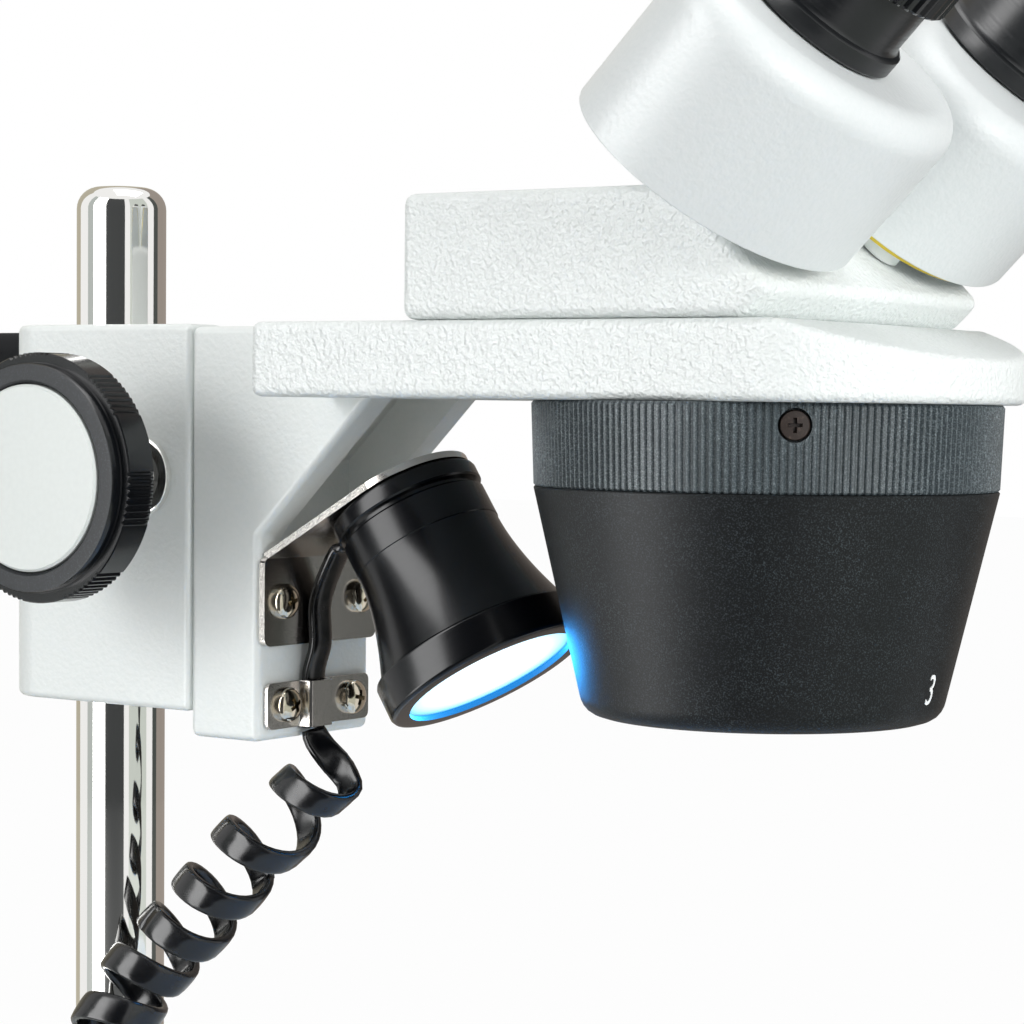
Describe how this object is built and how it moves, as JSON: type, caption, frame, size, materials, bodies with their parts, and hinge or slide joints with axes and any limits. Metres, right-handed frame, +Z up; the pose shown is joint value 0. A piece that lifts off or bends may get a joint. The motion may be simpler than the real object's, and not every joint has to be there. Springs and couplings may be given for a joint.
{
  "type": "stereo microscope",
  "caption": "Pillar-stand stereo microscope with rack focus block, knurled objective turret, hinged binocular head and an inclined lamp fed by a curly cord.",
  "frame": {"origin": "middle of the base's footprint, on the table", "axes": "+X from the pillar towards the observer, +Y to the far side, +Z up along the pillar"},
  "size_m": [0.2476, 0.14, 0.2658],
  "materials": {
    "white_paint": "crinkle coat",
    "grey_paint": "satin",
    "black_coat": "fine matt",
    "black_plastic": "satin",
    "black_metal": "black anodised, turned",
    "rubber": "matt",
    "chrome": "polished",
    "steel": "zinc plated",
    "brass": "machined",
    "white_plastic": "satin",
    "glass": "polished",
    "lamp_glass": "frosted",
    "board": "lacquered",
    "cord": "gloss"
  },
  "bodies": {
    "stand": {"base_housing": "white_paint", "base_cover": "steel", "foot_1": "rubber", "foot_2": "rubber", "foot_3": "rubber", "foot_4": "rubber", "stage_plate": "white_plastic", "pillar": "chrome", "pillar_nut": "steel", "switch_frame": "black_plastic", "power_inlet": "black_plastic", "cord_gland": "rubber"},
    "clip_near": {"stage_clip_near": "steel"},
    "clip_far": {"stage_clip_far": "steel"},
    "rocker": {"rocker_switch": "black_plastic"},
    "bush": {"pillar_bush": "brass"},
    "block": {"focus_block": "white_paint", "shaft_sleeve_near": "chrome", "shaft_sleeve_far": "chrome"},
    "lock": {"lock_knob": "black_plastic", "lock_screw": "steel", "lock_tip": "brass"},
    "drive": {"pinion_shaft": "steel", "focus_knob_near": "black_plastic", "focus_knob_far": "black_plastic", "knob_cap_near": "white_plastic", "knob_cap_far": "white_plastic"},
    "carriage": {"arm": "white_paint", "focus_slide": "steel", "focus_rack": "brass", "lamp_bracket": "chrome", "cord_clip": "chrome", "lamp_housing": "black_metal", "lamp_back_cap": "black_metal", "lamp_front_ring": "black_metal", "lamp_lens": "lamp_glass", "led_board": "board", "lamp_lead": "cord", "lamp_cord": "cord", "head_housing": "white_paint", "turret_bolt": "steel"},
    "turret": {"turret_body": "black_coat", "turret_ring": "black_coat", "objective_1": "black_metal", "objective_2": "black_metal", "objective_3": "black_metal", "objective_4": "black_metal"},
    "pod_near": {"prism_housing_near": "grey_paint", "prism_base_near": "brass", "prism_near": "glass", "eye_tube_near": "black_metal", "eyepiece_near": "black_plastic", "eyecup_near": "rubber"},
    "pod_far": {"prism_housing_far": "grey_paint", "prism_base_far": "brass", "prism_far": "glass", "eye_tube_far": "black_metal", "eyepiece_far": "black_plastic", "eyecup_far": "rubber"},
    "diopter": {"diopter_ring": "black_plastic"}
  },
  "joints": [
    {"name": "height", "type": "slide", "parent": "stand", "child": "bush", "axis": [0, 0, 1], "range_m": [-0.028, 0.022], "deforming": ["lamp_cord"]},
    {"name": "swing", "type": "hinge", "parent": "bush", "child": "block", "pos_m": [-0.0822, 0, 0.173], "axis": [0, 0, 1], "range_deg": [-90, 90]},
    {"name": "focus", "type": "slide", "parent": "block", "child": "carriage", "axis": [0, 0, 1], "range_m": [-0.016, 0.016]},
    {"name": "focus_knob_turn", "type": "hinge", "parent": "block", "child": "drive", "pos_m": [-0.0631, 0, 0.1591], "axis": [0, 1, 0], "range_deg": [-256, 256]},
    {"name": "lock_turn", "type": "hinge", "parent": "block", "child": "lock", "pos_m": [-0.0972, 0, 0.1773], "axis": [-1, 0, 0], "range_deg": [0, 180]},
    {"name": "turret_turn", "type": "hinge", "parent": "carriage", "child": "turret", "pos_m": [0.0521, 0, 0.1727], "axis": [0, 0, 1], "continuous": true},
    {"name": "eye_spacing_near", "type": "hinge", "parent": "carriage", "child": "pod_near", "pos_m": [0.0643, -0.012, 0.1968], "axis": [0.7071, 0, 0.7071], "range_deg": [-12, 12]},
    {"name": "eye_spacing_far", "type": "hinge", "parent": "carriage", "child": "pod_far", "pos_m": [0.0643, 0.012, 0.1968], "axis": [0.7071, 0, 0.7071], "range_deg": [-12, 12]},
    {"name": "diopter_turn", "type": "hinge", "parent": "pod_near", "child": "diopter", "pos_m": [0.0551, -0.032, 0.206], "axis": [0.7071, 0, 0.7071], "range_deg": [-150, 150]},
    {"name": "stage_clip_near_turn", "type": "hinge", "parent": "stand", "child": "clip_near", "pos_m": [0.0108, -0.038, 0.038], "axis": [0, 0, 1], "range_deg": [-60, 35]},
    {"name": "stage_clip_far_turn", "type": "hinge", "parent": "stand", "child": "clip_far", "pos_m": [0.0108, 0.038, 0.038], "axis": [0, 0, 1], "range_deg": [-35, 60]},
    {"name": "rocker_tip", "type": "hinge", "parent": "stand", "child": "rocker", "pos_m": [-0.1222, -0.032, 0.022], "axis": [0, 0, 1], "range_deg": [-9, 9]}
  ],
  "couplings": [
    {"joint": "focus_knob_turn", "follows": "focus", "rad_per_m": -277.78},
    {"joint": "eye_spacing_far", "follows": "eye_spacing_near", "ratio": -1}
  ]
}
